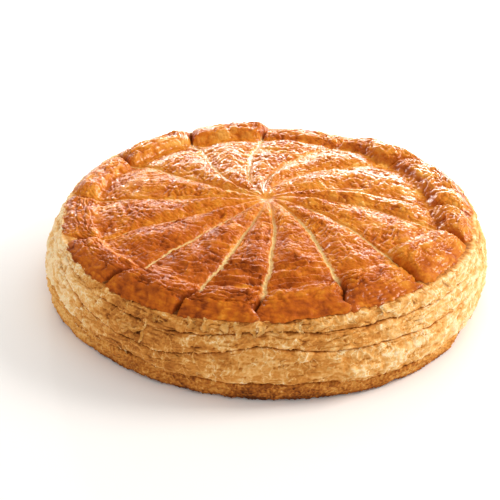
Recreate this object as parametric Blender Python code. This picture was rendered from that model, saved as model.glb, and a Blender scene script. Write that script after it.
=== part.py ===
"""A galette des rois: a round cake of puff pastry, scored in a rosette and browned on top.

The cake is one closed solid, in metres, with +Z up. The origin is the centre of the flat
base. Angles are counted anticlockwise from +X, as seen from above. Curved scores run from
the hub of the rosette to the edge and part the top into wedges. Each wedge ends in a block
that has puffed up at the rim. The side shows the layers of the pastry, swollen between
creases, over the thin lip of the base sheet.
"""

import math

import bmesh
import bpy

# The cake as a whole
WIDEST_RADIUS = 0.1250
WIDEST_HEIGHT = 0.0155
BASE_RADIUS = 0.1222
SIDE_TOP_RADIUS = 0.1168
CRUST_EDGE_RADIUS = 0.1176
CRUST_EDGE_HEIGHT = 0.0403
CRUST_THICKNESS = 0.0016

# The browned top
RIM_CREST_RADIUS = 0.1055
RIM_CREST_HEIGHT = 0.0448
RING_RADIUS = 0.0950
RING_DIP = 0.0018
FIELD_HEIGHT = 0.0446
HUB_HEIGHT = 0.0474
HUB_DIMPLE = 0.0016
HUB_DIMPLE_RADIUS = 0.0070

# The scores of the rosette
SCORE_DEPTH = 0.0024
SCORE_HALF_WIDTH = 0.0017
SCORE_START_RADIUS = 0.0050
SCORE_FULL_RADIUS = 0.0300
SWEEP_RADIUS = 0.1000
SWEEP_POWER = 1.7
HOOK_DEGREES = 4.5
WEDGE_SWELL = 0.0018
CUT_DEPTH = 0.0032
CUT_SETBACK = 0.0022

# One wedge for each line: the angle of the score before it at the ring, how far that score
# sweeps on its way out from the hub (both in degrees), the rise of its rim block, and how
# far in past the ring that block reaches.
WEDGES = (
    (-20, 38, 0.0010, 0.002),
    (-3, 46, 0.0012, 0.000),
    (33, 55, 0.0026, 0.000),
    (60, 46, -0.0022, 0.000),
    (89, 34, 0.0024, 0.002),
    (117, 28, 0.0022, 0.000),
    (149, 12, 0.0014, 0.000),
    (180, 6, 0.0012, 0.003),
    (208, 2, 0.0016, 0.002),
    (232, 0, 0.0022, 0.002),
    (252, 7, 0.0026, 0.004),
    (269, 16, 0.0026, 0.005),
    (291, 26, 0.0026, 0.008),
    (314, 33, 0.0024, 0.008),
)
REACH_WIDTH = 0.0140
COLUMNS_PER_WEDGE = (0.0, 0.05, 0.14, 0.30, 0.50, 0.70, 0.86, 0.95)

# The creases between the layers of the side, from the base up, and how they wander
CREASE_HEIGHTS = (0.0100, 0.0246, 0.0335)
CREASE_DEPTH = 0.0011
CREASE_HALF_HEIGHT = 0.0009
CREASE_WANDER = 0.0009
ROWS_PER_LAYER = 3

# How many rows of points the top has on each stretch, from the edge to the hub
RIM_ROWS = 8
FIELD_ROWS = 13

CRUST_COLOUR = (0.50, 0.17, 0.03, 1.0)
CRUST_ROUGHNESS = 0.35


def smooth_step(low, high, value):
    """0 below low, 1 above high, with an easy curve between."""
    share = min(1.0, max(0.0, (value - low) / (high - low)))
    return share * share * (3.0 - 2.0 * share)


def bump(distance, half_width):
    """A rounded bump: 1 at no distance, near 0 past twice its half width."""
    return math.exp(-((distance / half_width) ** 2))


def score_angle(wedge, radius):
    """The angle, in radians, of the score that begins a wedge, at one radius."""
    turns, index = divmod(wedge, len(WEDGES))
    at_ring, sweep, _, _ = WEDGES[index]
    inner = max(0.0, 1.0 - radius / SWEEP_RADIUS) ** SWEEP_POWER
    outer = max(0.0, radius / SWEEP_RADIUS - 1.0)
    hook = HOOK_DEGREES * outer / (CRUST_EDGE_RADIUS / SWEEP_RADIUS - 1.0)
    return math.radians(at_ring + 360.0 * turns + sweep * inner - min(hook, HOOK_DEGREES))


def side_radius(height):
    """The radius of the side at one height, before its creases."""
    if height < WIDEST_HEIGHT:
        share = 1.0 - height / WIDEST_HEIGHT
        return WIDEST_RADIUS - (WIDEST_RADIUS - BASE_RADIUS) * share**2.4
    share = (height - WIDEST_HEIGHT) / (CRUST_EDGE_HEIGHT - WIDEST_HEIGHT)
    return WIDEST_RADIUS - (WIDEST_RADIUS - SIDE_TOP_RADIUS) * share**1.6


def side_profile():
    """(radius, height) of the side, from the base's rim up to the tuck under the crust."""
    levels = [0.0, *CREASE_HEIGHTS, CRUST_EDGE_HEIGHT - CREASE_HALF_HEIGHT]
    points = []
    for low, high in zip(levels, levels[1:]):
        edge = CREASE_HALF_HEIGHT if low > 0.0 else 0.0
        points.append((side_radius(low) - (CREASE_DEPTH if low > 0.0 else 0.0), low))
        for row in range(ROWS_PER_LAYER):
            share = row / (ROWS_PER_LAYER - 1)
            height = low + edge + share * (high - low - edge - CREASE_HALF_HEIGHT)
            if height > 0.0:
                points.append((side_radius(height), height))
    points.append((side_radius(levels[-1]) - CREASE_DEPTH, levels[-1]))
    return points


def top_height(radius):
    """The height of the browned top at one radius, before scores and swelling."""
    if radius > RIM_CREST_RADIUS:
        span = CRUST_EDGE_RADIUS - RIM_CREST_RADIUS
        share = min(1.0, (radius - RIM_CREST_RADIUS) / span)
        drop = RIM_CREST_HEIGHT - CRUST_EDGE_HEIGHT - CRUST_THICKNESS
        return RIM_CREST_HEIGHT - drop * share**2.0
    if radius > RING_RADIUS:
        share = smooth_step(RING_RADIUS, RIM_CREST_RADIUS, radius)
        ring = FIELD_HEIGHT - RING_DIP
        return ring + (RIM_CREST_HEIGHT - ring) * share
    dome = HUB_HEIGHT - (HUB_HEIGHT - FIELD_HEIGHT) * (radius / RING_RADIUS) ** 2
    dip = RING_DIP * smooth_step(0.84 * RING_RADIUS, RING_RADIUS, radius)
    return dome - dip - HUB_DIMPLE * bump(radius, HUB_DIMPLE_RADIUS)


def top_profile():
    """(radius, height) of the top, from the crust's lower edge in to the hub."""
    points = [(CRUST_EDGE_RADIUS, CRUST_EDGE_HEIGHT)]
    for row in range(RIM_ROWS):
        share = row / RIM_ROWS
        radius = CRUST_EDGE_RADIUS - share * (CRUST_EDGE_RADIUS - RING_RADIUS)
        points.append((radius, top_height(radius)))
    for row in range(FIELD_ROWS):
        share = row / FIELD_ROWS
        radius = RING_RADIUS * (1.0 - share) ** 1.15
        points.append((radius, top_height(radius)))
    points.append((0.0, top_height(0.0)))
    return points


def revolve(points, steps):
    """A closed surface turned from a profile that runs from the axis back to the axis."""
    mesh = bmesh.new()
    line = [mesh.verts.new((radius, 0.0, height)) for radius, height in points]
    edges = [mesh.edges.new(pair) for pair in zip(line, line[1:])]
    bmesh.ops.spin(
        mesh,
        geom=line + edges,
        cent=(0.0, 0.0, 0.0),
        axis=(0.0, 0.0, 1.0),
        angle=math.tau,
        steps=steps,
        use_merge=True,
    )
    bmesh.ops.remove_doubles(mesh, verts=mesh.verts, dist=1e-6)
    bmesh.ops.recalc_face_normals(mesh, faces=mesh.faces)
    return mesh


def place_in_wedge(angle):
    """(wedge, share across it) of a column of points of the evenly turned surface."""
    columns = len(COLUMNS_PER_WEDGE)
    column = round(angle / math.tau * columns * len(WEDGES))
    wedge, step = divmod(column, columns)
    return wedge, COLUMNS_PER_WEDGE[step]


def shape_top(radius, height, wedge, share, width):
    """The radius and height of a point of the top, with its score, swell and rim block."""
    _, _, rise, reach = WEDGES[wedge % len(WEDGES)]
    from_score = min(share, 1.0 - share) * width
    groove = bump(from_score, SCORE_HALF_WIDTH)
    crown = math.sin(math.pi * share) ** 0.5
    scored = smooth_step(SCORE_START_RADIUS, SCORE_FULL_RADIUS, radius)
    at_rim = smooth_step(RING_RADIUS, RIM_CREST_RADIUS, radius)
    above_edge = (height - CRUST_EDGE_HEIGHT) / (RIM_CREST_HEIGHT - CRUST_EDGE_HEIGHT)
    height += scored * (1.0 - at_rim) * (WEDGE_SWELL * crown - SCORE_DEPTH * groove)
    height += at_rim * (rise * crown - CUT_DEPTH * groove * above_edge)
    radius -= reach * crown * bump(radius - RING_RADIUS, REACH_WIDTH)
    radius -= CUT_SETBACK * at_rim * bump(from_score, 2.0 * SCORE_HALF_WIDTH)
    return radius, height


def wander(angle, level):
    """How far a crease of the side strays from its height, round the cake."""
    return CREASE_WANDER * (
        math.sin(3.0 * angle + 2.1 * level) + 0.6 * math.sin(7.0 * angle + 4.3 * level)
    )


def shape_point(point, top_starts):
    """Moves one point of the turned surface to its place on the cake."""
    radius = math.hypot(point.x, point.y)
    if radius < 1e-6:
        return
    wedge, share = place_in_wedge(math.atan2(point.y, point.x) % math.tau)
    low = score_angle(wedge, radius)
    high = score_angle(wedge + 1, radius)
    angle = low + share * (high - low)
    height = point.z
    if height >= top_starts:
        width = (high - low) * radius
        radius, height = shape_top(radius, height, wedge, share, width)
    elif height > 0.0:
        level = height / CRUST_EDGE_HEIGHT
        height += wander(angle, level) * math.sin(math.pi * level)
    point.xyz = (radius * math.cos(angle), radius * math.sin(angle), height)


def pastry_finish():
    """Puff pastry baked under an egg glaze."""
    finish = bpy.data.materials.new("glazed_puff_pastry")
    finish.use_nodes = True
    shader = finish.node_tree.nodes["Principled BSDF"]
    shader.inputs["Base Color"].default_value = CRUST_COLOUR
    shader.inputs["Roughness"].default_value = CRUST_ROUGHNESS
    shader.inputs["Metallic"].default_value = 0.0
    return finish


def make_galette():
    """The cake: a profile turned about its axis, then drawn out to wedges and layers."""
    profile = [(0.0, 0.0), *side_profile(), *top_profile()]
    mesh = revolve(profile, len(COLUMNS_PER_WEDGE) * len(WEDGES))
    for vertex in mesh.verts:
        shape_point(vertex.co, CRUST_EDGE_HEIGHT)
    data = bpy.data.meshes.new("galette")
    mesh.to_mesh(data)
    mesh.free()
    data.materials.append(pastry_finish())
    data.shade_smooth()
    data.set_sharp_from_angle(angle=math.radians(40.0))
    galette = bpy.data.objects.new("galette", data)
    bpy.context.scene.collection.objects.link(galette)
    return galette


def main():
    for old in list(bpy.data.objects):
        bpy.data.objects.remove(old)
    make_galette()


main()
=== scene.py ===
"""The looks of a galette des rois: a round cake of puff pastry, egg-washed, scored and baked.

The crust is made wedge by wedge, between the scores of the rosette. Each wedge rises from
the hub as a soft field and ends in a block that has puffed up at the rim. Below the crust
the side is built of rings of layered pastry that part at creases, on a thin base sheet, and
a few torn flakes, shreds and curls stand off it. Shaping functions work in millimetres and
degrees, counted anticlockwise from +X.
"""

import itertools
import math
from collections import namedtuple

import bmesh
import bpy
import numpy as np
from mathutils import Matrix, Vector


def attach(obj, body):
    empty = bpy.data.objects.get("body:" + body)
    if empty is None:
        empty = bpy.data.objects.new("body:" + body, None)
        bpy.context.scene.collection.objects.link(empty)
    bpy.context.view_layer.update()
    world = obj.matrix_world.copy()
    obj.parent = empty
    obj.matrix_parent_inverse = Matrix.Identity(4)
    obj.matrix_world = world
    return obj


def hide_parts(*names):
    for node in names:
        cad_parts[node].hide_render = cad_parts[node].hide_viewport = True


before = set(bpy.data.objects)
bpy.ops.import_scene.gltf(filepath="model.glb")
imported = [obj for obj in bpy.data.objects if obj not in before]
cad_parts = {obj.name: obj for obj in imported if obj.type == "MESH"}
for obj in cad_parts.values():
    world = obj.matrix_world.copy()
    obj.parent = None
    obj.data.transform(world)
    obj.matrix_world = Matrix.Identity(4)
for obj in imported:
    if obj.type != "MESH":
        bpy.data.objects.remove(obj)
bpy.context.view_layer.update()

MM = 0.001
NODE = "galette"

# The browned top, in millimetres
RING_RADIUS = 95.0
EDGE_RADIUS = 117.2
HUB_HEIGHT = 47.4
FIELD_HEIGHT = 44.8
CREST_HEIGHT = 44.9
SLAB_BOTTOM = 36.5

# One wedge a line. score: angle of the cut before it at the ring. sweep: how far that cut
# turns on its way out from the hub. line: half the width of bare dough in that cut. rise:
# height of the rim block over the crest line. lean: how much higher its far end is. drop:
# how far its ends fall off. first, last: how far in past the ring the block starts, at each
# end. wall: how gently its inner wall climbs. crest, veer: the radius of its crest, and how
# that grows to its far end. crumple: how wrinkled it is. steps: how stepped the field is
# behind it. dark: how browned its block is, and how much painted shade its outer face and
# inner wall get. lip: how far its torn far end curls over the next block, and how deep the
# painted shadow below it is.
Wedge = namedtuple(
    "Wedge", "score sweep line rise lean drop first last wall crest veer crumple steps dark lip"
)
WEDGES = (
    Wedge(-16, 34, 0.3, 1.8, 0.6, 1.2, -2.0, 5.0, 4.0, 107, 0, 0.8, 0.0, 0.25, 0.0),
    Wedge(-1, 44, 0.3, 2.7, 0.2, 1.2, 6.0, 8.0, 8.0, 107, 0, 1.2, 0.0, 0.70, 0.0),
    Wedge(36, 52, 0.4, 2.6, -2.4, 1.2, 6.0, 3.0, 5.0, 107, 0, 0.9, 0.0, 0.70, 0.0),
    Wedge(62.5, 44, 0.7, -1.4, 0.4, 2.6, 1.0, 2.0, 4.0, 106, 0, 0.6, 0.0, 0.50, 0.0),
    Wedge(92, 33, 0.9, 2.8, 0.0, 0.8, 1.0, 0.0, 2.4, 107, 0, 0.6, 0.0, 0.20, 0.0),
    Wedge(119, 27, 0.6, 2.8, 0.0, 1.6, 0.0, 1.0, 2.4, 107, 0, 0.7, 0.0, 0.20, 0.0),
    Wedge(147, 12, 0.4, 1.4, 0.2, 2.0, 1.0, 0.0, 2.8, 107, 0, 0.9, 0.0, 0.20, 0.0),
    Wedge(178.5, 4, 0.3, 0.9, -0.4, 0.6, 3.0, 1.0, 5.0, 105, 0, 2.0, 0.2, 0.28, 0.0),
    Wedge(206, 1, 0.3, 1.7, 0.6, 0.4, 0.0, 0.0, 5.0, 107, 2, 1.2, 0.1, 0.20, 0.0),
    Wedge(229.5, 1, 0.6, 2.2, 0.2, 0.3, 0.0, 1.0, 5.0, 108, 3, 1.5, 0.2, 0.32, 0.0),
    Wedge(251.5, 8, 0.9, 2.4, 0.6, 0.3, 1.0, 2.0, 5.0, 107, -5, 1.4, 1.0, 0.0, 5.0),
    Wedge(269.8, 15, 1.0, 2.4, 0.7, 0.3, 2.0, 3.0, 5.0, 101, -2, 1.2, 1.1, 0.36, 5.6),
    Wedge(292.5, 24, 1.0, 2.4, -2.8, 0.3, 9.0, 5.0, 5.0, 103, 12, 1.2, 0.0, 0.42, 2.0),
    Wedge(316, 31, 0.6, 2.6, -2.6, 0.6, 14.0, 2.0, 5.0, 103, 8, 1.3, 0.0, 0.24, 0.0),
)
# How thickly each wedge was brushed with egg, from 0 to 1
THIN, EVEN, THICK = 0.20, 0.36, 0.70
BRUSHED = (THICK,) * 6 + (EVEN,) * 2 + (THIN,) * 4 + (EVEN,) * 2
# The cuts: inside this radius they sweep, more and more towards the hub, and outside it
# they hook back by a few degrees
SWEEP_RADIUS = 100.0
SWEEP_POWER = 1.7
HOOK = 3.5

# Heights round the cake, as (angle, millimetres)
CRUST_EDGE = (
    (0, 40.5), (30, 40), (60, 37.5), (90, 38.5), (120, 41), (150, 40), (180, 42), (203, 42.5),
    (225, 40), (246, 38.5), (267, 40.5), (290, 41.5), (322, 41.5), (337, 39.5),
)
UPPER_CREASE = (
    (0, 34), (45, 35), (90, 33), (140, 35), (180, 37), (206, 38), (230, 34), (246, 31.5),
    (258, 33), (270, 36.5), (290, 34.5), (312, 34), (335, 33),
)
MAIN_CREASE = (
    (0, 24), (40, 22), (85, 25), (120, 22), (160, 26), (190, 32), (206, 33), (217, 29),
    (226, 25), (235, 22), (248, 21), (258, 25), (268, 31), (281, 26), (303, 25), (325, 24),
)
BASE_CREASE = (
    (0, 9), (60, 11), (110, 9), (160, 12), (190, 17), (210, 19), (221, 16), (232, 13.5),
    (251, 11), (265, 10.5), (279, 12), (295, 8.5), (310, 10), (330, 8),
)
# How far the field sinks before the blocks, round the cake
RING_DIP = (
    (0, 3.0), (30, 3.4), (60, 4.6), (90, 4.0), (120, 3.2), (160, 2.8), (200, 1.6), (270, 0.6),
    (320, 1.4),
)
# How far out the crust reaches, round the cake
CRUST_REACH = (
    (0, 114.8), (15, 116.4), (60, 116.4), (90, 116.5), (120, 117), (150, 115.4), (168, 112.8),
    (188, 112.8), (207, 116.5), (230, 118), (250, 117.8), (270, 117), (290, 116.4),
    (313, 115), (340, 114.2),
)
# How much more the oven has browned the top there than at the hub, round the cake
BAKED = (
    (0, 0.00), (45, -0.02), (90, 0.03), (135, 0.03), (180, 0.10), (225, 0.31), (270, 0.32),
    (315, 0.09),
)
# How much browner the side is there than its usual tone, round the cake
SIDE_TOAST = (
    (0, 0.02), (45, -0.02), (90, 0.04), (150, 0.0), (185, -0.12), (204, -0.20), (219, -0.08),
    (234, 0.36), (250, 0.30), (265, 0.13), (285, 0.17), (305, 0.0), (325, -0.16),
)
# The same for the base sheet
FOOT_TOAST = (
    (0, -0.14), (90, 0.0), (150, 0.0), (190, -0.24), (212, -0.12), (228, 0.02), (245, 0.10),
    (270, 0.22), (285, 0.18), (305, 0.02), (325, -0.14),
)
# How far the foot of the side stands out, round the cake
FOOT_OUT = (
    (0, -2.0), (25, 0.0), (205, 0.0), (232, -1.8), (255, 0.0), (275, 1.4), (300, 2.4),
    (312, 1.8), (322, -0.8), (334, -3.0), (348, -2.8),
)
# How far the top of the side is drawn in, round the cake
DRAWN_IN = (
    (8, 2.0), (22, 0.0), (130, 0.0), (152, 1.4), (168, 3.6), (190, 3.4), (204, 1.0), (215, 0.0),
    (335, 0.0), (350, 1.8),
)
# A torn place on the front left: (angle, height) of its hole
TEAR = (239.5, 27.0)

# Shreds that hang below the crust, and curls of torn dough lower down, most of them at the
# front. Each is (angle, height, length, width, tilt, lift), as make_flakes wants it.
SHREDS = (
    (253.0, 39.0, 3.6, 4.6, 165, 0.7), (257.0, 38.8, 4.4, 5.2, 140, 1.0),
    (261.0, 39.5, 4.0, 4.6, 200, 0.9), (264.5, 39.6, 6.0, 4.4, 155, 1.5),
    (267.0, 39.4, 6.0, 3.2, 215, 1.3), (269.5, 39.5, 4.6, 4.4, 175, 1.0),
    (272.0, 38.5, 6.5, 1.3, 215, 0.9), (274.5, 39.0, 6.0, 1.0, 150, 0.7),
    (277.5, 39.8, 4.0, 4.4, 190, 0.9), (281.5, 40.2, 4.6, 3.4, 145, 1.0),
    (285.5, 40.6, 4.2, 3.6, 160, 1.0), (289.5, 40.6, 4.6, 3.0, 200, 0.8),
    (244.0, 38.0, 3.6, 3.8, 160, 0.6), (236.0, 39.2, 3.2, 3.4, 200, 0.6),
    (299.0, 40.4, 3.6, 3.8, 150, 0.7), (308.0, 40.8, 3.2, 3.4, 190, 0.6),
    (320.0, 40.8, 3.6, 3.8, 165, 0.6), (345.0, 39.5, 3.4, 3.2, 200, 0.6),
    (30.0, 39.0, 3.8, 3.4, 160, 0.7), (75.0, 37.5, 4.0, 3.6, 200, 0.8),
    (130.0, 39.5, 3.8, 3.2, 150, 0.6), (163.0, 39.5, 4.0, 3.4, 170, 0.6),
    (196.0, 40.5, 3.4, 3.0, 200, 0.6),
)
CURLS = (
    (238.4, 28.6, 5.5, 3.0, 65, 2.6), (240.8, 28.8, 6.0, 2.8, 105, 2.4),
    (241.6, 28.0, 4.5, 2.0, 150, 1.8), (237.8, 27.2, 4.2, 2.2, 95, 2.2),
    (240.2, 29.4, 6.5, 2.2, -70, 1.8), (236.6, 29.6, 5.5, 2.4, 85, 1.4),
    (238.8, 25.8, 3.0, 1.6, 200, 1.2), (252.0, 20.0, 6.0, 1.6, 60, 1.0),
    (254.5, 18.5, 7.0, 1.2, 20, 1.2), (257.5, 17.5, 6.5, 1.4, -35, 1.2),
    (259.5, 19.0, 7.5, 1.2, 10, 1.4), (262.5, 21.0, 6.0, 1.4, 70, 1.2),
    (266.0, 20.0, 7.0, 1.6, -60, 1.4), (268.5, 18.0, 5.5, 1.2, 30, 1.0),
    (273.0, 19.5, 6.0, 1.4, -20, 1.2), (276.5, 21.0, 5.0, 1.8, 65, 1.2),
    (281.0, 18.0, 6.0, 1.4, 40, 1.2), (283.0, 17.0, 5.5, 1.6, -50, 1.2),
    (233.5, 24.0, 5.0, 1.4, 75, 0.9), (228.0, 20.0, 5.0, 1.6, -60, 0.9),
    (222.5, 23.5, 5.5, 1.6, 70, 1.0), (247.0, 17.0, 6.0, 1.6, 55, 1.0),
)


# Small tools for shaping


def smooth(low, high, value):
    """0 below low, 1 above high, with an easy curve between."""
    share = np.clip((value - low) / (high - low), 0.0, 1.0)
    return share * share * (3.0 - 2.0 * share)


def bump(distance, half_width):
    """A rounded bump: 1 at no distance, near 0 past twice its half width."""
    return np.exp(-((distance / half_width) ** 2))


def around(table, angle, soften=5.0):
    """The value of a table of (angle, value) at each angle, eased round the cake."""
    places, values = zip(*table)
    ring = np.arange(0.0, 360.0, 1.0)
    level = np.interp(ring, places, values, period=360.0)
    spread = bump(np.minimum(ring, 360.0 - ring), soften)
    level = np.fft.ifft(np.fft.fft(level) * np.fft.fft(spread / spread.sum())).real
    return np.interp(angle, ring, level, period=360.0)


def noise(points, seed):
    """Smooth noise of about -1 to 1 at points given in cells, the same on every run.

    A call divides its points by the size of the bumps that it wants, and its seed picks one
    pattern out of many.
    """
    draw = np.random.default_rng(seed)
    slopes = draw.normal(size=(points.shape[1], 4096))
    slopes /= np.linalg.norm(slopes, axis=0)
    sides = []
    for column, stride in zip(points.T, (73856093, 19349663, 83492791)):
        cell = np.floor(column)
        part = column - cell
        ease = part**3 * (part * (part * 6.0 - 15.0) + 10.0)
        key = cell.astype(np.int64) * stride
        sides.append(((key, part, 1.0 - ease), (key + stride, part - 1.0, ease)))
    total = np.zeros(len(points))
    for corner in itertools.product(*sides):
        keys, parts, weights = zip(*corner)
        key = np.bitwise_xor.reduce(keys) & 4095
        height = sum(slope[key] * part for slope, part in zip(slopes, parts))
        total += np.prod(weights, axis=0) * height
    return total * 1.7


def stack(*columns):
    """Columns of numbers side by side, as points."""
    return np.stack(np.broadcast_arrays(*columns), axis=1)


def ridges(points, seed, sharp=2.0):
    """Thin raised folds, 1 on the fold and falling towards 0 between them."""
    return np.clip(1.0 - 1.5 * np.abs(noise(points, seed)), 0.0, 1.0) ** sharp


def turned(points, degrees):
    """Points turned about the upright axis, so that two patterns don't run alike."""
    cos, sin = math.cos(math.radians(degrees)), math.sin(math.radians(degrees))
    x, y, z = points.T
    return stack(cos * x - sin * y, sin * x + cos * y, z)


def read(mesh):
    """A mesh's points as an array, in its own units."""
    points = np.empty(len(mesh.vertices) * 3)
    mesh.vertices.foreach_get("co", points)
    return points.reshape(-1, 3)


def write(mesh, points):
    """Puts a mesh's points where an array says."""
    mesh.vertices.foreach_set("co", points.ravel())
    mesh.update()


def outward(mesh):
    """The direction that a mesh's surface faces at each point."""
    facing = np.empty(len(mesh.vertices) * 3)
    mesh.vertex_normals.foreach_get("vector", facing)
    return facing.reshape(-1, 3)


def note(mesh, name, values):
    """Keeps a number for each point of a mesh, for its finish to read."""
    layer = mesh.attributes.new(name, "FLOAT", "POINT")
    layer.data.foreach_set("value", values.astype(np.float32))


def polar(angle, radius, height):
    """Points from angles in degrees, radii and heights."""
    turn = np.radians(angle)
    return stack(radius * np.cos(turn), radius * np.sin(turn), height)


def as_piece(mesh, name, finish):
    """A finished mesh as a piece of the cake, riding with it and standing for its solid."""
    tidy = bmesh.new()
    tidy.from_mesh(mesh)
    bmesh.ops.remove_doubles(tidy, verts=tidy.verts, dist=1e-6)
    bmesh.ops.dissolve_degenerate(tidy, edges=tidy.edges, dist=1e-7)
    bmesh.ops.recalc_face_normals(tidy, faces=tidy.faces)
    tidy.to_mesh(mesh)
    tidy.free()
    mesh.name = name
    mesh.materials.append(finish)
    mesh.shade_smooth()
    piece = bpy.data.objects.new(name, mesh)
    bpy.context.scene.collection.objects.link(piece)
    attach(piece, "root")
    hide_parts(NODE)
    return piece


# The crust

CRUST_COLUMNS, CRUST_ROWS = ((108, 300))
# How far along a wedge's rows are at the start of its rim, at its crest and at its lower
# edge. The rest turn in under that edge.
ROW_INNER, ROW_CREST, ROW_EDGE = 0.58, 0.80, 0.94
INNER_RADIUS = 84.0
# How much closer the columns are beside the cuts
COLUMN_EASE = 0.45

# The field: its crowns between the cuts, the cuts, and the treads of a stepped field
CROWN_RISE, CROWN_BASE = 3.0, 1.4
HUB_DIMPLE, HUB_DIMPLE_WIDTH = 1.8, 4.5
CUT_DEPTH, CUT_WIDTH = 0.8, 1.4
TREAD, TREAD_RISE = 5.6, 1.5
# The gaps between the blocks, a narrow slit in a wider dip, and how far the edge turns in
SLIT_DEPTH, SLIT_WIDTH = 3.8, 0.6
DIP_DEPTH, DIP_WIDTH = 0.9, 2.2
TUCK = 2.6

# Where a wedge's points lie. u: share of the way across it. over: share of the way from the
# crest down to the lower edge. under: share of the turn under it. crest: radius of the
# crest. near_start, near_end: distance from the cut on each side. near: the lesser of them.
Spot = namedtuple("Spot", "u over under crest radius angle near_start near_end near")
# The plain shape of a wedge. at_rim: 0 in the field, 1 in the block. bare: 1 where no egg
# reached. shade: how much painted shade it gets in a gap between blocks and as a painted
# shadow under a lip.
Form = namedtuple("Form", "points angle near at_rim over under bare shade")
# The skin's patterns, from broad patches to grains of under a millimetre
Skin = namedtuple("Skin", "patch folds middle fine tiny blisters creases")


def slab_blank(columns, rows):
    """A flat closed slab: a unit sheet of fine squares with a plain wall and underside."""
    blank = bmesh.new()
    bmesh.ops.create_grid(blank, x_segments=columns, y_segments=rows, size=0.5)
    bmesh.ops.translate(blank, verts=blank.verts, vec=(0.5, 0.5, 0.0))
    border = [edge for edge in blank.edges if edge.is_boundary]
    wall = bmesh.ops.extrude_edge_only(blank, edges=border)["geom"]
    foot = [item for item in wall if isinstance(item, bmesh.types.BMVert)]
    bmesh.ops.translate(blank, verts=foot, vec=(0.0, 0.0, -1.0))
    rim = [edge for edge in blank.edges if edge.is_boundary]
    bmesh.ops.edgeloop_fill(blank, edges=rim)
    bmesh.ops.recalc_face_normals(blank, faces=blank.faces)
    mesh = bpy.data.meshes.new("slab")
    blank.to_mesh(mesh)
    blank.free()
    return mesh


def score_angle(wedge, radius):
    """The angle of the cut that begins a wedge, at each radius."""
    inner = np.clip(1.0 - radius / SWEEP_RADIUS, 0.0, 1.0) ** SWEEP_POWER
    outer = smooth(SWEEP_RADIUS - 4.0, EDGE_RADIUS, radius)
    stray = 0.9 * noise(stack(radius / 17.0, wedge.score * 0.37), 5) * smooth(8, 30, radius)
    stray += 0.35 * noise(stack(radius / 4.0, wedge.score * 0.61), 6) * smooth(8, 30, radius)
    return wedge.score + wedge.sweep * inner - HOOK * outer + stray


def lay_out(index, u, v):
    """Where the points of a unit sheet lie in a wedge, seen from above."""
    wedge, after = WEDGES[index], WEDGES[(index + 1) % len(WEDGES)]
    full_turn = 360.0 if index + 1 == len(WEDGES) else 0.0
    over = np.clip((v - ROW_CREST) / (ROW_EDGE - ROW_CREST), 0.0, 1.0)
    under = np.clip((v - ROW_EDGE) / (1.0 - ROW_EDGE), 0.0, 1.0)
    crest = wedge.crest + wedge.veer * (u - 0.5)
    out = np.clip((v - ROW_INNER) / (ROW_CREST - ROW_INNER), 0.0, 1.0)
    radius = INNER_RADIUS * np.clip(v / ROW_INNER, 0.0, 1.0)
    radius += (crest - INNER_RADIUS) * out

    reached = radius + (EDGE_RADIUS - crest) * over
    start = score_angle(wedge, reached)
    end = score_angle(after, reached) + full_turn
    angle = start + u * (end - start)
    width = np.radians(end - start) * np.maximum(radius, 1.0)
    near_start, near_end = u * width, (1.0 - u) * width
    near = np.minimum(near_start, near_end)
    return Spot(u, over, under, crest, radius, angle, near_start, near_end, near)


def field_height(wedge, spot):
    """The field between the cuts: soft crowns that meet in a narrow cut with puffed lips."""
    radius, angle, near = spot.radius, spot.angle, spot.near
    scored = smooth(5.0, 30.0, radius)
    crown = 1.0 - np.abs(2.0 * spot.u - 1.0) ** 1.8
    field = HUB_HEIGHT - (HUB_HEIGHT - FIELD_HEIGHT) * (radius / RING_RADIUS) ** 2
    field -= around(RING_DIP, angle) * smooth(0.80 * RING_RADIUS, RING_RADIUS, radius)
    field -= HUB_DIMPLE * bump(radius, HUB_DIMPLE_WIDTH)
    flatter = 1.0 - 0.4 * smooth(78.0, 92.0, radius)
    field += scored * (CROWN_RISE * crown - CROWN_BASE) * flatter
    beads = 0.5 + 0.5 * noise(stack(radius / 3.5, angle / 3.0), 16)
    field += 0.5 * scored * beads * bump(near - 2.2, 0.9)
    groove = 1.0 - smooth(0.2, CUT_WIDTH, near)
    field -= (CUT_DEPTH * scored + 0.5 * smooth(2.0, 8.0, radius) * (1.0 - scored)) * groove
    drift = noise(stack(angle / 14.0, radius / 18.0), 31)
    field += scored * drift * smooth(0.0, 6.0, near)
    tread = radius / TREAD + 0.35 * noise(stack(angle / 7.0, radius / 9.0), 32)
    tread -= np.floor(tread)
    stair = smooth(0.0, 0.55, tread) - smooth(0.55, 1.0, tread)
    stair *= smooth(66.0, 74.0, radius) * smooth(0.3, 3.0, near)
    return field + TREAD_RISE * wedge.steps * stair


def block_start(index, spot):
    """The radius at which the block at the rim starts to rise."""
    wedge = WEDGES[index]
    wobble = noise(stack(spot.angle / 7.0, index * 3.7), 11)
    ring = RING_RADIUS - wedge.first - (wedge.last - wedge.first) * spot.u + 1.3 * wobble
    return ring + 3.0 * bump(spot.near, 2.0)


def block_height(wedge, spot, ring):
    """The top of the block at the rim, as high as its crest."""
    block = 1.0 - np.abs(2.0 * spot.u - 1.0) ** 9
    swell = noise(stack(spot.angle / 6.0, spot.radius / 8.0), 12)
    top = CREST_HEIGHT + wedge.rise * block
    top += wedge.lean * np.maximum(2.0 * spot.u - 1.0, -0.6)
    top += 0.8 * swell - wedge.drop * np.abs(2.0 * spot.u - 1.0) ** 3
    return top + 0.8 * np.sin(math.pi * smooth(ring, spot.crest + 4.0, spot.radius)) * block


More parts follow.
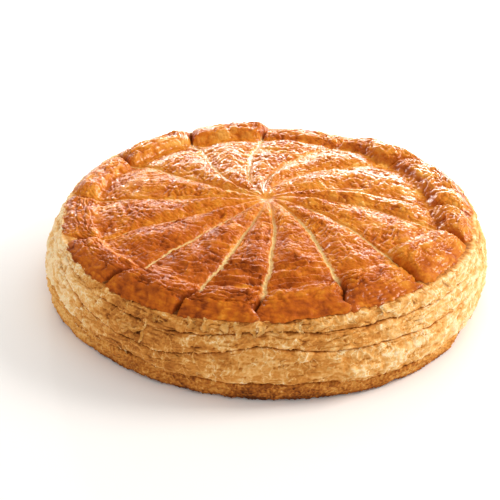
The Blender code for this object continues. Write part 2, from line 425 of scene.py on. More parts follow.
def bare_dough(index, spot, angle, radius, at_rim):
    """Where no egg reached: in the cuts, at the hub and on a torn end."""
    wedge, after = WEDGES[index], WEDGES[(index + 1) % len(WEDGES)]
    line = np.where(spot.near_start < spot.near_end, wedge.line, after.line)
    line = line * (0.55 + 0.45 * smooth(10.0, 60.0, radius))
    frayed = 1.0 + 0.45 * noise(stack(radius / 2.4, angle * 1.3), 15)
    bare = (1.0 - smooth(0.5, 1.2, spot.near / (line * frayed))) * (1.0 - at_rim)
    bare *= smooth(6.0, 38.0, radius)
    bare = np.maximum(bare, 0.30 * bump(radius, 1.8))
    end = smooth(0.97, 1.0, spot.u) * smooth(0.4, 0.8, spot.over)
    return np.maximum(bare, 0.1 * wedge.lip * end)


def crust_form(index, u, v, underside):
    """The plain shape of a wedge, before its skin is wrinkled."""
    wedge, before = WEDGES[index], WEDGES[index - 1]
    spot = lay_out(index, u, v)
    over, under, near, angle = spot.over, spot.under, spot.near, spot.angle
    ring = block_start(index, spot)
    at_rim = smooth(ring - 0.5, ring + wedge.wall, spot.radius)
    field, top = field_height(wedge, spot), block_height(wedge, spot, ring)
    height = field + (top - field) * at_rim

    # over the brow, down the outer face and under the edge
    edge_height = around(CRUST_EDGE, angle) + 0.6 * noise(stack(angle / 3.0, 3.3), 13)
    edge_radius = around(CRUST_REACH, angle) + 0.9 * noise(stack(angle / 4.0, 7.7), 14)
    radius = spot.radius + (edge_radius - spot.crest) * over
    radius += 0.6 * noise(stack(angle / 1.1, 1.7), 17) * over**5
    bend = np.interp(spot.crest, (94.0, 110.0), (1.0, 1.25))
    height += (edge_height - top) * over**bend * at_rim
    gap = at_rim * (1.0 - 0.4 * over)
    height -= gap * (SLIT_DEPTH * bump(near, SLIT_WIDTH) + DIP_DEPTH * bump(near, DIP_WIDTH))

    # the torn end curls out over the next block
    torn = smooth(0.70, 1.0, u) * bump(over - 0.80, 0.28)
    curl = np.where(underside, 0.0, wedge.lip * torn)
    angle = angle + np.degrees(curl / 110.0)
    radius += 0.38 * curl
    height += 0.35 * curl
    radius -= 2.2 * over * bump(near, 0.8) + TUCK * under
    height -= 1.2 * np.sin(0.5 * math.pi * under)

    bare = bare_dough(index, spot, angle, radius, at_rim)
    # painted shade: darker in the narrow gaps between blocks, and a painted shadow on the start of
    # the next block, below a torn lip
    shadow_below_lip = 0.15 * before.lip * over * (1.0 - smooth(2.0, 9.0, spot.near_start))
    shade = at_rim * np.maximum(bump(near, 1.1), shadow_below_lip)
    return Form(polar(angle, radius, height), angle, near, at_rim, over, under, bare, shade)


def baked_skin(points, angle, index):
    """The patterns of the skin: long folds round the cake, wrinkles, blisters and grains."""
    radius = np.hypot(points[:, 0], points[:, 1])
    shift = stack(*(noise(points / 7.0, seed) for seed in (20, 21, 22)))
    bent = points + 2.4 * shift
    patch = smooth(-0.5, 0.5, noise(points / 16.0, 23))
    across = np.radians(angle) * (25.0 + 0.7 * radius)
    folds = ridges(stack(across / 10.5, radius / 4.4, points[:, 2] / 6.0) + 0.55 * shift, 24)
    folds *= 0.35 + 0.65 * smooth(-0.3, 0.5, noise(turned(bent, -40.0) / 6.0, 33))
    middle = ridges(turned(bent, -17.0) / (4.6, 3.7, 3.6), 25)
    middle *= 0.3 + 0.7 * smooth(-0.3, 0.4, noise(turned(bent, 35.0) / 3.4, 34))
    fine = ridges(turned(points + 1.2 * shift, 29.0) / (2.3, 1.9, 1.9), 30)
    blisters = smooth(0.1, 0.7, noise(turned(bent, 52.0) / (5.0, 3.8, 3.8), 35))
    tiny = noise(points / (1.1, 0.9, 0.9), 26)
    slope = radius + 1.2 * (CREST_HEIGHT - points[:, 2])
    creases = ridges(stack(angle * 1.9 / 15.0, slope / 3.4, index) + 0.45 * shift, 27)
    return Skin(patch, folds, middle, fine, tiny, blisters, creases)


def crust_relief(wedge, form, skin):
    """How far the skin stands off the plain shape, in millimetres."""
    face = smooth(0.1, 0.5, form.over)
    wrinkled = (0.35 + 0.65 * skin.patch) * (skin.folds + 0.8 * skin.middle)
    relief = wrinkled + 0.22 * skin.fine + 0.05 * skin.tiny + 0.6 * skin.blisters
    relief *= 1.0 - 0.5 * face
    creased = wedge.crumple * form.at_rim * skin.creases
    return relief + creased * (0.4 + 0.6 * skin.patch) * (1.0 - 0.9 * face)


def crust_browning_and_shade(wedge, form, skin, points, radius):
    """How browned the crust is, with painted shade, from 0 for pale gold to 1 for mahogany.

    Whatever stands up into the heat browns first, and so does the hub. The ring before the
    blocks, the lips of the cuts and the turned in edge stay paler. Painted shade darkens the
    gaps between the blocks, a painted shadow lies below a torn lip, each block's inner wall is
    painted darker or paler by its wedge, and its outer face is partly painted shade.
    """
    at_rim = form.at_rim
    face = smooth(0.1, 0.5, form.over)
    spread = around(BAKED, form.angle, 12.0)
    brown_and_shade = spread * smooth(10.0, 60.0, radius) + 0.21
    raised = 0.26 * skin.folds + 0.20 * skin.middle
    brown_and_shade += (0.3 + 0.7 * skin.patch) * raised + 0.10 * skin.blisters
    brown_and_shade += 0.10 * skin.fine + 0.21 * noise(points / 12.0, 28) + 0.14 * noise(points / 4.0, 29)
    # partly browning, partly painted shade: each wedge's dark paints its block darker, most of all
    # its outer face
    rim = 0.06 * at_rim + 0.14 * smooth(0.1, 0.6, form.over)
    brown_and_shade += wedge.dark * rim * (0.6 + 0.6 * skin.patch)
    mottled = 0.16 * face * noise(points / 2.6, 36)
    brown_and_shade += 0.12 * at_rim * skin.creases + mottled - 0.08 * at_rim
    # painted shade in the gaps between blocks and painted shadow below a torn lip; the hub browns
    # more
    brown_and_shade += 0.35 * form.shade + 0.12 * bump(radius, 24.0)
    # painted shade on the inner wall of a block: darker where dark is over 0.4, paler where it is
    # under
    brown_and_shade += 3.2 * (wedge.dark - 0.4) * at_rim * (1.0 - at_rim) * (1.0 - face)
    brown_and_shade -= 0.12 * (1.0 - smooth(0.5, 4.0, form.near)) * (1.0 - at_rim)
    brown_and_shade -= 0.25 * smooth(0.55, 1.0, form.under)
    return np.clip(brown_and_shade, 0.0, 1.0)


def make_crust_wedge(index, finish):
    """One wedge of the crust, from the hub to the rim, wrinkled and browned."""
    wedge = WEDGES[index]
    mesh = slab_blank(CRUST_COLUMNS, CRUST_ROWS)
    blank = read(mesh)
    u = blank[:, 0] - COLUMN_EASE * np.sin(math.tau * blank[:, 0]) / math.tau
    underside = blank[:, 2] < -0.5
    form = crust_form(index, u, blank[:, 1], underside)
    points = form.points
    points[underside, 2] = SLAB_BOTTOM
    write(mesh, points)

    # the skin wrinkles where it is free to: not in the cuts, at the hub or under the edge
    radius = np.hypot(points[:, 0], points[:, 1])
    free = smooth(0.0, 1.4, form.near) * (1.0 - smooth(0.3, 1.0, form.under))
    free *= smooth(3.0, 20.0, radius)
    free[underside] = 0.0
    skin = baked_skin(points, form.angle, index)
    points += (outward(mesh).T * crust_relief(wedge, form, skin) * free).T
    write(mesh, points * MM)
    note(mesh, "brown_and_shade", crust_browning_and_shade(wedge, form, skin, points, radius))
    note(mesh, "bare", np.clip(form.bare + 0.8 * smooth(0.5, 1.0, form.under), 0.0, 1.0))
    return as_piece(mesh, f"crust_wedge_{index + 1:02d}", finish)


# The layered side and the base sheet

SIDE_STEPS, BAND_ROWS = ((2100, 40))
BAND_DEPTH = 7.0
# The side's outline: its widest ring, and how far it draws in at the foot and at the top
WIDEST_RADIUS, WIDEST_HEIGHT = 125.0, 15.5
FOOT_INSET, TOP_INSET = 2.8, 8.4
RISE_TO_CRUST = 25.0
# Patterns are laid on a plain drum of this radius, so that they don't stretch
DRUM_RADIUS = 122.0
# The flat middle of the base sheet
FLAT_RADIUS = 116.0

# One ring of the side a line. low, high: the creases it lies between. tucked: how far its
# top goes up under the crust. swell: how far it bulges. strata: how clearly its sheets show.
# veins: how many torn threads lie on it.
Band = namedtuple("Band", "name low high tucked swell strata veins seed")
BANDS = (
    Band("side_lower_layers", BASE_CREASE, MAIN_CREASE, 0.0, 0.9, 0.8, 1.0, 101),
    Band("side_middle_layers", MAIN_CREASE, UPPER_CREASE, 0.0, 0.9, 1.0, 0.6, 131),
    Band("side_upper_layers", UPPER_CREASE, CRUST_EDGE, 0.2, 0.6, 1.2, 0.6, 161),
)
# The patterns of a ring of the side
Layers = namedtuple("Layers", "sheets plates splits lumps grit web pits tear")


def turned_blank(steps, profile):
    """A surface turned about the upright axis from a profile of (radius, height)."""
    blank = bmesh.new()
    bmesh.ops.create_grid(blank, x_segments=steps, y_segments=len(profile) - 1, size=0.5)
    for vertex in blank.verts:
        turn = math.tau * (vertex.co.x + 0.5)
        radius, height = profile[round((vertex.co.y + 0.5) * (len(profile) - 1))]
        vertex.co = (radius * math.cos(turn), radius * math.sin(turn), height)
    bmesh.ops.remove_doubles(blank, verts=blank.verts, dist=1e-5)
    bmesh.ops.recalc_face_normals(blank, faces=blank.faces)
    mesh = bpy.data.meshes.new("turned")
    blank.to_mesh(mesh)
    blank.free()
    return mesh


def angle_of(points):
    """The angle of each point round the cake, from 0 to 360 degrees."""
    return np.degrees(np.arctan2(points[:, 1], points[:, 0])) % 360.0


def envelope(angle, height):
    """The radius of the side at each angle and height, before its creases."""
    low = np.clip(1.0 - height / WIDEST_HEIGHT, 0.0, 1.0) ** 2.4
    high = np.clip((height - WIDEST_HEIGHT) / RISE_TO_CRUST, 0.0, 1.0) ** 1.6
    drawn = around(DRAWN_IN, angle) * (0.3 + 0.7 * smooth(12.0, 42.0, height))
    foot = around(FOOT_OUT, angle) * (1.0 - smooth(6.0, 30.0, height))
    return WIDEST_RADIUS - FOOT_INSET * low - TOP_INSET * high - drawn + foot


def layer_patterns(band, angle, height):
    """The patterns of laminated dough seen edge on: sheets, torn plates, threads and pits."""
    seed = band.seed
    flat = polar(angle, DRUM_RADIUS, height)
    drift = 1.6 * noise(flat / (17.0, 17.0, 9.0), seed + 1)
    drift += 0.8 * noise(flat / (5.0, 5.0, 4.0), seed + 2)
    level = height + drift
    bent = flat + 1.6 * stack(*(noise(flat / 4.5, seed + k) for k in (21, 22, 23)))
    sheets = noise(stack(flat[:, 0] / 7.0, flat[:, 1] / 7.0, level / 0.9), seed + 3)
    plates = smooth(0.0, 0.14, noise(bent / (12.0, 12.0, 3.6), seed + 4))
    plates += 0.6 * smooth(0.05, 0.16, noise(bent / (5.5, 5.5, 2.4), seed + 13))
    splits = ridges(stack(flat[:, 0] / 26.0, flat[:, 1] / 26.0, level / 3.0), seed + 11, 12.0)
    splits *= smooth(-0.3, 0.2, noise(flat / (18.0, 18.0, 5.0), seed + 12))
    lumps = noise(flat / (4.0, 4.0, 2.6), seed + 5)
    grit = noise(flat / (1.3, 1.3, 1.0), seed + 6)
    web = ridges(bent / (6.5, 6.5, 4.6), seed + 7, 8.0)
    web = np.maximum(web, 0.8 * ridges(bent / (3.6, 3.6, 3.4), seed + 14, 9.0))
    web *= smooth(-0.25, 0.35, noise(flat / 11.0, seed + 8))
    pits = smooth(0.66, 0.85, noise(flat / (3.6, 3.6, 1.8), seed + 9))
    along = np.radians(angle) * DRUM_RADIUS - math.radians(TEAR[0]) * DRUM_RADIUS
    tear = bump(along, 2.2) * bump(height - TEAR[1], 1.2)
    return Layers(sheets, plates, splits, lumps, grit, web, pits, tear)


def layer_toast_and_shade(band, layers, angle, height, to_edge):
    """How browned a ring of the side is, least on threads, with painted shade: its creases,
    splits, pits and torn hole are painted darker.
    """
    flat = polar(angle, DRUM_RADIUS, height)
    crease_shade = 1.0 - smooth(0.0, 0.55, to_edge)
    toast = 0.42 + 0.13 * band.strata * layers.sheets - 0.12 * layers.plates
    toast += 0.13 * noise(flat / 12.0, band.seed + 10)
    # painted shade: the creases at the ring's top and bottom edges are painted darker
    toast += 0.10 * layers.grit - 0.10 * layers.lumps + 0.46 * crease_shade
    # painted shade in the splits and pits, darkest in the torn hole
    toast += 0.24 * layers.pits + 0.32 * layers.splits + 0.8 * layers.tear
    toast += around(SIDE_TOAST, angle) - 0.40 * band.veins * layers.web
    return np.clip(toast, 0.0, 1.0)


def make_band(band, finish):
    """A ring of layered pastry between two creases of the side."""
    shares = np.linspace(0.0, 1.0, BAND_ROWS + 1)
    shares -= 0.6 * np.sin(math.tau * shares) / math.tau
    profile = [(1.0, float(share)) for share in shares]
    profile += [(0.9, 1.0), (0.9, 0.0), (1.0, 0.0)]
    mesh = turned_blank(SIDE_STEPS, profile)
    blank = read(mesh)
    angle = angle_of(blank)
    v = blank[:, 2]
    inner = np.hypot(blank[:, 0], blank[:, 1]) < 0.95
    bottom = around(band.low, angle)
    tall = around(band.high, angle) + band.tucked - bottom
    height = bottom + v * tall

    to_edge = np.minimum(v, 1.0 - v) * tall
    radius = envelope(angle, height) - 0.3 + band.swell * np.sin(math.pi * v) ** 0.7
    arc = np.radians(angle) * DRUM_RADIUS
    radius += noise(stack(arc / 19.0, height / 8.0), band.seed)
    radius += 0.4 * (1.0 - v) * smooth(0.0, 1.2, to_edge)
    radius -= 2.0 * (1.0 - smooth(0.0, 0.75, to_edge)) ** 1.6
    radius[inner] = envelope(angle[inner], height[inner]) - BAND_DEPTH
    points = polar(angle, radius, height)
    write(mesh, points)

    layers = layer_patterns(band, angle, height)
    sheeted = band.strata * (0.10 * layers.sheets + 0.34 * layers.plates)
    relief = sheeted + 0.50 * layers.lumps + 0.12 * layers.grit
    relief += band.veins * 0.75 * layers.web - 0.6 * layers.pits
    relief -= 0.8 * layers.splits + 2.6 * layers.tear
    relief *= np.where(inner, 0.0, smooth(0.0, 0.8, to_edge) * 0.8 + 0.2)
    points += (outward(mesh).T * relief).T
    points[:, 2] = np.maximum(points[:, 2], 0.0)
    write(mesh, points * MM)
    # the toast here holds browning and painted shade
    note(mesh, "toast", layer_toast_and_shade(band, layers, angle, height, to_edge))
    return as_piece(mesh, band.name, finish)


def make_base_sheet(finish):
    """The sheet of dough under the cake: a flat disc whose browned rim shows as a lip."""
    profile = [(0.0, -1.0), (0.5, -1.0)]
    profile += [(1.0, row / BAND_ROWS) for row in range(BAND_ROWS + 1)]
    profile += [(0.5, 2.0), (0.0, 2.0)]
    mesh = turned_blank(SIDE_STEPS, profile)
    blank = read(mesh)
    angle = angle_of(blank)
    share = np.hypot(blank[:, 0], blank[:, 1])
    wall = share > 0.75
    v = np.clip(blank[:, 2], 0.0, 1.0)
    tall = around(BASE_CREASE, angle)
    height = v * tall
    arc = np.radians(angle) * DRUM_RADIUS
    to_top = (1.0 - v) * tall
    radius = envelope(angle, height) - 0.3
    radius += noise(stack(arc / 13.0, height / 6.0), 71)
    radius -= 1.3 * (1.0 - smooth(0.0, 1.2, height)) ** 2
    radius -= 1.5 * (1.0 - smooth(0.0, 1.3, to_top)) ** 1.6
    radius = np.where(wall, radius, share * 2.0 * FLAT_RADIUS)
    points = polar(angle, radius, height)
    write(mesh, points)

    flat = polar(angle, DRUM_RADIUS, height)
    grain = noise(flat / (1.3, 1.3, 1.1), 72)
    crumbs = ridges(flat / (2.8, 2.8, 2.2), 73)
    lumps = noise(flat / (5.5, 5.5, 3.0), 74)
    relief = 0.42 * grain + 0.60 * crumbs + 0.55 * lumps
    relief *= np.where(wall, smooth(0.0, 1.0, height) * 0.85 + 0.15, 0.0)
    points += (outward(mesh).T * relief).T
    points[:, 2] = np.maximum(points[:, 2], 0.0)
    write(mesh, points * MM)
    toast = 0.47 + 0.28 * grain + 0.20 * lumps + 0.32 * (1.0 - smooth(0.0, 4.5, height))
    # painted shade: the last term paints the top edge darker, in the crease under the lowest ring
    toast += 0.20 * noise(flat / 18.0, 75) + 0.25 * (1.0 - smooth(0.0, 0.9, to_top))
    toast += around(FOOT_TOAST, angle)
    note(mesh, "toast", np.clip(toast, 0.0, 1.0))
    return as_piece(mesh, "base_sheet", finish)


# Torn flakes and shreds that stand off the side


def bent_flake(unit, flake, thick, draw):
    """The points of one flake: a unit slab drawn out to a bowed strip with ragged edges."""
    angle, height, length, width, tilt, lift = flake
    t, across = unit[:, 1], unit[:, 0] - 0.5
    ragged = 0.6 + 0.7 * draw.random(11)
    shape = width * (1.0 - 0.7 * t * t) * np.interp(t, np.linspace(0.0, 1.0, 11), ragged)
    bow = draw.uniform(-0.5, 0.5) * length * t * t
    bow += draw.uniform(0.3, 0.9) * np.sin(math.pi * t * draw.uniform(1.5, 3.0))
    along = length * t
    side = across * shape + bow
    turn = math.radians(tilt)
    run = -along * math.sin(turn) + side * math.cos(turn)
    up = height + along * math.cos(turn) + side * math.sin(turn)
    off = envelope(angle, np.clip(up, 0.0, 42.0)) + 0.3 + lift * t**1.5
    off += 0.5 * width * across**2 - thick * (unit[:, 2] < -0.5)
    off -= 0.8 * (1.0 - smooth(0.0, 0.2, t))
    return polar(angle + np.degrees(run / DRUM_RADIUS), off, np.maximum(up, 0.3))


def make_flakes(name, flakes, thick, toast, finish, seed):
    """Thin torn bits of pastry: each a curled strip with ragged edges, rooted in the side.

    A flake is (angle, height, length, width, tilt, lift): where its root is, its size, the
    way it points (degrees from upright) and how far its tip stands off.
    """
    every = bmesh.new()
    draw = np.random.default_rng(seed)
    for flake in flakes:
        mesh = slab_blank(4, 12)
        write(mesh, bent_flake(read(mesh), flake, thick, draw) * MM)
        every.from_mesh(mesh)
        bpy.data.meshes.remove(mesh)
    bmesh.ops.recalc_face_normals(every, faces=every.faces)
    mesh = bpy.data.meshes.new(name)
    every.to_mesh(mesh)
    every.free()
    points = read(mesh) / MM
    usual = 0.7 * around(SIDE_TOAST, angle_of(points))
    tone = toast + 0.25 * noise(points / 4.0, seed + 1) + usual
    note(mesh, "toast", np.clip(tone, 0.0, 1.0))
    return as_piece(mesh, name, finish)


def scattered_flakes(count, seed):
    """Small flakes all round the side, most of them lying close to it."""
    draw = np.random.default_rng(seed)
    flakes = []
    for _ in range(count):
        angle = draw.uniform(0.0, 360.0)
        height = draw.uniform(10.0, 37.0)
        length = draw.uniform(1.5, 5.5)
        width = draw.uniform(0.4, 1.6)
        tilt = draw.uniform(-75, 75)
        lift = draw.uniform(0, 0.9)
        flakes.append((angle, height, length, width, tilt, lift))
    return flakes


# Finishes

# What the pastry's colour goes through as it browns, from pale to dark, as (place, sRGB)
CRUST_STOPS = (
    (0.0, "#EBAE50"), (0.22, "#DC8B2B"), (0.42, "#CA7018"),
    (0.62, "#B75A12"), (0.82, "#9E4910"), (1.0, "#82380E"),
)
SIDE_STOPS = (
    (0.0, "#F9DEB0"), (0.25, "#EAB770"), (0.5, "#D18D3F"), (0.75, "#AE6926"), (1.0, "#6E3A12"),
)
FOOT_STOPS = (
    (0.0, "#F2C47C"), (0.3, "#DD9E4C"), (0.55, "#BE762C"), (0.8, "#8E4C16"), (1.0, "#55290C"),
)
# Dough that no egg reached
DOUGH_STOPS = ((0.3, "#D9A85C"), (0.7, "#F2D9A0"))


def colour(code):
    """An sRGB hex colour as linear red, green, blue and alpha."""
    parts = [int(code[place : place + 2], 16) / 255.0 for place in (1, 3, 5)]
    linear = [p / 12.92 if p <= 0.04045 else ((p + 0.055) / 1.055) ** 2.4 for p in parts]
    return (*linear, 1.0)


def add(tree, kind, feeds=None, **settings):
    """Adds a node with its settings. A feed is a value or another node's output."""
    node = tree.nodes.new(kind)
    for name, value in settings.items():
        setattr(node, name, value)
    for name, value in (feeds or {}).items():
        if isinstance(value, bpy.types.NodeSocket):
            tree.links.new(value, node.inputs[name])
        else:
            node.inputs[name].default_value = value
    return node


def per_metre(size):
    """The scale of a pattern whose cells are this many millimetres across."""
    return 1.0 / (size * MM)


def new_finish(name):
    """An empty finish with its shader: (finish, tree, shader)."""
    finish = bpy.data.materials.new(name)
    finish.use_nodes = True
    return finish, finish.node_tree, finish.node_tree.nodes["Principled BSDF"]


def set_stops(node, stops):
    """Gives a colour ramp its stops: (place, hex)."""
    ramp = node.color_ramp
    while len(ramp.elements) < len(stops):
        ramp.elements.new(0.5)
    for element, (place, code) in zip(ramp.elements, stops):
        element.position = place
        element.color = colour(code)


def egg_washed_pastry(name, egg):
    """Puff pastry brushed with beaten egg and baked: amber to mahogany under a clear gloss.

    The egg dries to a thin skin, so the crust has a sharp gloss over a softer one, and it
    is darkest where folds stood up into the heat and where shade is painted in. The cuts show
    the dough without the egg.
    egg: how thickly it was brushed, from 0 to 1. A thicker skin dries less smooth.
    """
    finish, tree, shader = new_finish(name)
    place = add(tree, "ShaderNodeTexCoord").outputs["Object"]
    # browning together with painted shade, from the crust's points
    brown_and_shade = add(tree, "ShaderNodeAttribute", attribute_name="brown_and_shade").outputs["Fac"]
    bare = add(tree, "ShaderNodeAttribute", attribute_name="bare").outputs["Fac"]
    # blotches and specks left by the oven's heat
    blotch = add(
        tree, "ShaderNodeTexNoise", {"Vector": place, "Scale": per_metre(3.85), "Detail": 4.0}
    )
    speck = add(
        tree, "ShaderNodeTexNoise", {"Vector": place, "Scale": per_metre(0.91), "Detail": 2.0}
    )
    uneven = add(
        tree, "ShaderNodeMath", {0: blotch.outputs["Fac"], 1: 0.34, 2: -0.17},
        operation="MULTIPLY_ADD",
    )
    flecks = add(
        tree, "ShaderNodeMath", {0: speck.outputs["Fac"], 1: 0.16, 2: -0.08},
        operation="MULTIPLY_ADD",
    )
    heat = add(tree, "ShaderNodeMath", {0: brown_and_shade, 1: uneven.outputs[0]}, operation="ADD")
    heat = add(tree, "ShaderNodeMath", {0: heat.outputs[0], 1: flecks.outputs[0]}, operation="ADD")
    crust = add(tree, "ShaderNodeValToRGB", {"Fac": heat.outputs[0]})
    set_stops(crust, CRUST_STOPS)
    dough = add(tree, "ShaderNodeValToRGB", {"Fac": speck.outputs["Fac"]})
    set_stops(dough, DOUGH_STOPS)
    skin = add(
        tree, "ShaderNodeMix", {"Factor": bare, 6: crust.outputs[0], 7: dough.outputs[0]},
        data_type="RGBA",
    )
    tree.links.new(skin.outputs[2], shader.inputs["Base Color"])
    rough = add(
        tree, "ShaderNodeMapRange",
        {"Value": blotch.outputs["Fac"], "From Min": 0.3, "From Max": 0.7,
         "To Min": 0.42, "To Max": 0.58},
    )
    dull = add(
        tree, "ShaderNodeMath", {0: bare, 1: 0.3, 2: rough.outputs["Result"]},
        operation="MULTIPLY_ADD",
    )
    tree.links.new(dull.outputs[0], shader.inputs["Roughness"])
    # the skin's small puckers
    puckers = add(
        tree, "ShaderNodeTexNoise",
        {"Vector": place, "Scale": per_metre(2.38), "Detail": 2.0, "Distortion": 1.0},
    )
    relief = add(
        tree, "ShaderNodeBump",
        {"Height": puckers.outputs["Fac"], "Strength": 0.45, "Distance": 0.0012},
    )
    tree.links.new(relief.outputs[0], shader.inputs["Normal"])
    shader.inputs["IOR"].default_value = 1.45
    shader.inputs["Specular IOR Level"].default_value = 0.1
    shader.inputs["Coat Weight"].default_value = egg
    shader.inputs["Coat Roughness"].default_value = 0.02 + 0.20 * egg
    shader.inputs["Coat IOR"].default_value = 1.45
    return finish


def torn_fibres(tree, place):
    """A broken net of thin pale lines, 1 on a line, and the spots where the net is whole."""
    sway = add(
        tree, "ShaderNodeTexNoise", {"Vector": place, "Scale": per_metre(6.67), "Detail": 3.0}
    )
    swayed = add(
        tree, "ShaderNodeVectorMath",
        {0: sway.outputs["Color"], 1: (0.012, 0.012, 0.012), 2: place},
        operation="MULTIPLY_ADD",
    )
    net = add(
        tree, "ShaderNodeTexVoronoi",
        {"Vector": swayed.outputs[0], "Scale": per_metre(5.26)},
        feature="DISTANCE_TO_EDGE",
    )
    line = add(
        tree, "ShaderNodeMapRange",
        {"Value": net.outputs["Distance"], "From Min": 0.0, "From Max": 0.09,
         "To Min": 1.0, "To Max": 0.0},
    )
    whole = add(
        tree, "ShaderNodeMapRange",
        {"Value": sway.outputs["Fac"], "From Min": 0.46, "From Max": 0.58,
         "To Min": 0.0, "To Max": 1.0},
    )
    return add(
        tree, "ShaderNodeMath", {0: line.outputs[0], 1: whole.outputs[0]}, operation="MULTIPLY"
    ).outputs[0]


def layered_pastry(name, stops, rough):
    """Laminated dough baked dry: thin matt sheets, pale gold, with painted shade in their creases.

    No egg reaches the side, so it has no gloss, and light goes a little way into it.
    """
    finish, tree, shader = new_finish(name)
    place = add(tree, "ShaderNodeTexCoord").outputs["Object"]
    toast = add(tree, "ShaderNodeAttribute", attribute_name="toast").outputs["Fac"]
    # sheets of dough just under a millimetre thick, seen edge on
    wide, thick = per_metre(4.55), per_metre(0.91)
    squash = add(tree, "ShaderNodeMapping", {"Vector": place, "Scale": (wide, wide, thick)})
    sheets = add(
        tree, "ShaderNodeTexNoise",
        {"Vector": squash.outputs[0], "Scale": 1.0, "Detail": 4.0, "Distortion": 1.2},
    )
    speck = add(
        tree, "ShaderNodeTexNoise", {"Vector": place, "Scale": per_metre(1.11), "Detail": 3.0}
    )
    lined = add(
        tree, "ShaderNodeMath", {0: sheets.outputs["Fac"], 1: 0.36, 2: -0.18},
        operation="MULTIPLY_ADD",
    )
    dotted = add(
        tree, "ShaderNodeMath", {0: speck.outputs["Fac"], 1: 0.3, 2: -0.15},
        operation="MULTIPLY_ADD",
    )
    heat = add(tree, "ShaderNodeMath", {0: toast, 1: lined.outputs[0]}, operation="ADD")
    heat = add(tree, "ShaderNodeMath", {0: heat.outputs[0], 1: dotted.outputs[0]}, operation="ADD")
    fibre = torn_fibres(tree, place)
    heat = add(
        tree, "ShaderNodeMath", {0: fibre, 1: -0.30, 2: heat.outputs[0]},
        operation="MULTIPLY_ADD",
    )
    skin = add(tree, "ShaderNodeValToRGB", {"Fac": heat.outputs[0]})
    set_stops(skin, stops)
    tree.links.new(skin.outputs[0], shader.inputs["Base Color"])
    both = add(
        tree, "ShaderNodeMath", {0: sheets.outputs["Fac"], 1: speck.outputs["Fac"]},
        operation="ADD",
    )
    raised = add(
        tree, "ShaderNodeMath", {0: fibre, 1: 0.7, 2: both.outputs[0]}, operation="MULTIPLY_ADD"
    )
    relief = add(
        tree, "ShaderNodeBump", {"Height": raised.outputs[0], "Strength": 0.4, "Distance": 0.0008}
    )
    tree.links.new(relief.outputs[0], shader.inputs["Normal"])
    shader.inputs["Roughness"].default_value = rough
    shader.inputs["IOR"].default_value = 1.4
    shader.inputs["Specular IOR Level"].default_value = 0.2
    shader.inputs["Subsurface Weight"].default_value = 0.12
    shader.inputs["Subsurface Radius"].default_value = (1.0, 0.5, 0.25)
    shader.inputs["Subsurface Scale"].default_value = 0.002
    return finish


def white_paper():
    """Matt white background paper, which only has to be bright and even."""
    finish, _, shader = new_finish("matt_white_paper")
    shader.inputs["Base Color"].default_value = colour("#F4F3F2")
    shader.inputs["Roughness"].default_value = 1.0
    shader.inputs["Specular IOR Level"].default_value = 0.0
    return finish


# The stage

FLOOR_HALF = 4.0
# The camera and its aim, in metres
CAMERA_PLACE = (0.0, -0.5379, 0.3183)
CAMERA_ACROSS = (0.99979, 0.01993, 0.00479)
CAMERA_FORWARD = (-0.01497, 0.86959, -0.49355)
LENS, SENSOR = 77.56, 36.0


def make_floor():
    """A plain white floor that fills the view."""
    sheet = bmesh.new()
    bmesh.ops.create_grid(sheet, x_segments=1, y_segments=1, size=FLOOR_HALF)
    mesh = bpy.data.meshes.new("floor")
    sheet.to_mesh(mesh)
    sheet.free()
    mesh.materials.append(white_paper())
    floor = bpy.data.objects.new("floor", mesh)
    bpy.context.scene.collection.objects.link(floor)


def add_lamp(name, size, power, place, target, tint):
    """A soft rectangular lamp that shines from a place to a target."""
    lamp = bpy.data.lights.new(name, "AREA")
    lamp.shape = "RECTANGLE"
    lamp.size, lamp.size_y = size
    lamp.energy = power
    lamp.color = colour(tint)[:3]
    holder = bpy.data.objects.new(name, lamp)
    holder.visible_camera = False
    aim = (Vector(target) - Vector(place)).to_track_quat("-Z", "Y")
    holder.matrix_world = Matrix.Translation(place) @ aim.to_matrix().to_4x4()
    bpy.context.scene.collection.objects.link(holder)


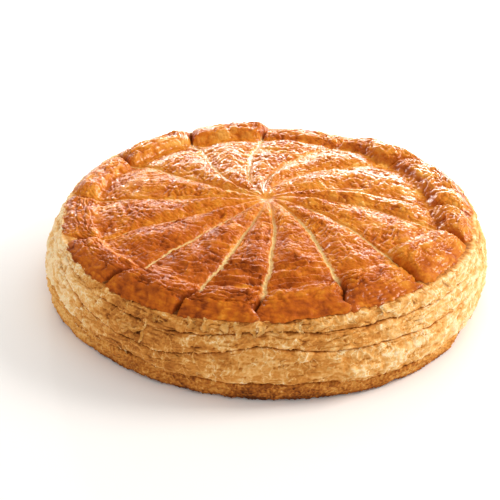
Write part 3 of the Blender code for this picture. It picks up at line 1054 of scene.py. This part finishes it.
def light_the_stage():
    """Even room light, a lamp from the right, and three low ones behind for the gloss.

    Of those, back and sheen give the broad sheen and spark the small sharp glints.
    """
    world = bpy.data.worlds.new("soft_room")
    world.use_nodes = True
    sky = world.node_tree.nodes["Background"]
    sky.inputs["Color"].default_value = colour("#FDFAF6")
    sky.inputs["Strength"].default_value = 0.90
    bpy.context.scene.world = world
    world.cycles_visibility.glossy = False
    add_lamp("key", (0.45, 0.45), 11.5, (1.0, 0.18, 0.70), (0.0, 0.0, 0.02), "#FFF8F0")
    add_lamp("back", (0.5, 0.14), 2.1, (0.30, 0.80, 0.20), (0.0, 0.0, 0.03), "#FFFFFF")
    add_lamp("sheen", (0.60, 0.08), 1.2, (-0.02, 0.37, 0.13), (0.0, 0.05, 0.045), "#FFFFFF")
    add_lamp("spark", (0.05, 0.05), 0.9, (-0.30, 0.90, 0.34), (0.0, 0.0, 0.03), "#FFFFFF")


def place_camera():
    """The view from in front and above, about 60 cm from the cake."""
    lens = bpy.data.cameras.new("view")
    lens.lens = LENS
    lens.sensor_width = SENSOR
    lens.clip_start = 0.01
    across = Vector(CAMERA_ACROSS).normalized()
    forward = Vector(CAMERA_FORWARD).normalized()
    up = across.cross(forward).normalized()
    across = forward.cross(up)
    turn = Matrix((across, up, -forward)).transposed().to_4x4()
    camera = bpy.data.objects.new("view", lens)
    camera.matrix_world = Matrix.Translation(CAMERA_PLACE) @ turn
    bpy.context.scene.collection.objects.link(camera)
    bpy.context.scene.camera = camera


def main():
    place_camera()
    make_floor()
    light_the_stage()
    bpy.context.scene.view_settings.view_transform = "Standard"

    crusts = {
        THIN: egg_washed_pastry("puff_pastry_thinly_egg_washed", THIN),
        EVEN: egg_washed_pastry("puff_pastry_egg_washed", EVEN),
        THICK: egg_washed_pastry("puff_pastry_thickly_egg_washed", THICK),
    }
    side = layered_pastry("laminated_pastry_baked_dry", SIDE_STOPS, 0.7)
    foot = layered_pastry("pastry_base_baked_on_the_tray", FOOT_STOPS, 0.75)

    for index, egg in enumerate(BRUSHED):
        make_crust_wedge(index, crusts[egg])
    make_base_sheet(foot)
    for band in BANDS:
        make_band(band, side)
    make_flakes("side_flakes", scattered_flakes(150, 201), 0.15, 0.22, side, 202)
    make_flakes("crust_shreds", SHREDS, 0.2, 0.34, side, 203)
    make_flakes("torn_curls", CURLS, 0.3, 0.28, side, 204)


main()
